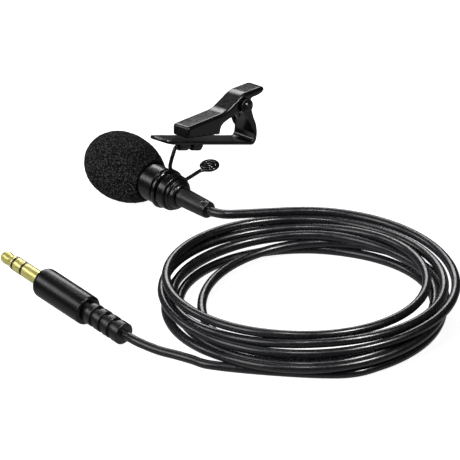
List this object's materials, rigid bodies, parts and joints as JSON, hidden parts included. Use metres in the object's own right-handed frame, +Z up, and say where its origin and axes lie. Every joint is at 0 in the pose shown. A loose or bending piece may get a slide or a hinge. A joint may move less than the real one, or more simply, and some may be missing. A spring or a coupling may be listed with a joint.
{
  "type": "lavalier microphone",
  "caption": "Clip-on lavalier microphone with an egg-shaped foam windscreen, a wire-mounted crocodile clip, a coiled cable and a three-pole 3.5 mm plug.",
  "frame": {"origin": "on the surface the microphone lies on, under the middle of the box round the microphone and its clip", "axes": "+Y along the microphone's axis towards the windscreen's front, +Z up"},
  "size_m": [0.0856, 0.1172, 0.0233],
  "materials": {
    "windscreen_foam": "matte open-cell foam",
    "black_satin_metal": "satin black coat",
    "clip_satin_black": "satin black coat",
    "black_gloss_wire": "gloss black",
    "dark_rubber": "matte",
    "cable_pvc": "smooth soft PVC",
    "plug_plastic": "satin",
    "gold_plate": "gold plated",
    "insulator_plastic": "satin",
    "spring_steel": "drawn wire",
    "capsule_aluminium": "satin",
    "board_green": "solder mask",
    "insulated_core": "smooth",
    "felt": "felt"
  },
  "bodies": {
    "microphone": {"barrel": "black_satin_metal", "front_grille": "capsule_aluminium", "capsule_gasket": "felt", "capsule_can": "capsule_aluminium", "capsule_boot": "dark_rubber", "diaphragm_ring": "capsule_aluminium", "backplate": "gold_plate", "capsule_board": "board_green", "signal_core": "insulated_core", "ground_core": "black_gloss_wire", "crimp_ferrule": "spring_steel", "rear_cap": "black_satin_metal", "mic_strain_relief": "dark_rubber", "cable_lead": "cable_pvc", "cable_coil": "cable_pvc", "cable_tail": "cable_pvc", "plug_tip_contact": "gold_plate", "plug_front_insulator": "insulator_plastic", "plug_ring_contact": "gold_plate", "plug_rear_insulator": "insulator_plastic", "plug_sleeve_contact": "gold_plate", "plug_housing": "plug_plastic", "plug_strain_relief": "dark_rubber", "plug_tip_core": "insulated_core", "plug_ring_core": "board_green", "plug_sleeve_core": "black_gloss_wire"},
    "windscreen": {"foam_windscreen": "windscreen_foam"},
    "holder": {"wire_holder": "black_gloss_wire"},
    "clip_base": {"lower_jaw": "clip_satin_black", "pivot_pin": "clip_satin_black"},
    "clip_lever": {"upper_jaw": "clip_satin_black", "torsion_spring": "spring_steel"}
  },
  "joints": [
    {"name": "windscreen_slide", "type": "slide", "parent": "microphone", "child": "windscreen", "axis": [0, 1, 0], "range_m": [0, 0.016]},
    {"name": "holder_turn", "type": "hinge", "parent": "microphone", "child": "holder", "pos_m": [-0.01258, -0.00528, 0.00823], "axis": [0, 1, 0], "range_deg": [-120, 18]},
    {"name": "clip_swivel", "type": "hinge", "parent": "holder", "child": "clip_base", "pos_m": [-0.0091, -0.00475, 0.01803], "axis": [0.9422, 0, -0.335], "range_deg": [-60, 100]},
    {"name": "jaw_open", "type": "hinge", "parent": "clip_base", "child": "clip_lever", "pos_m": [0.01397, -0.00364, 0.02022], "axis": [-0.0379, 0.9936, -0.1067], "range_deg": [0, 25], "stiffness_Nm_per_rad": 0.06, "springref_deg": -28.65}
  ]
}
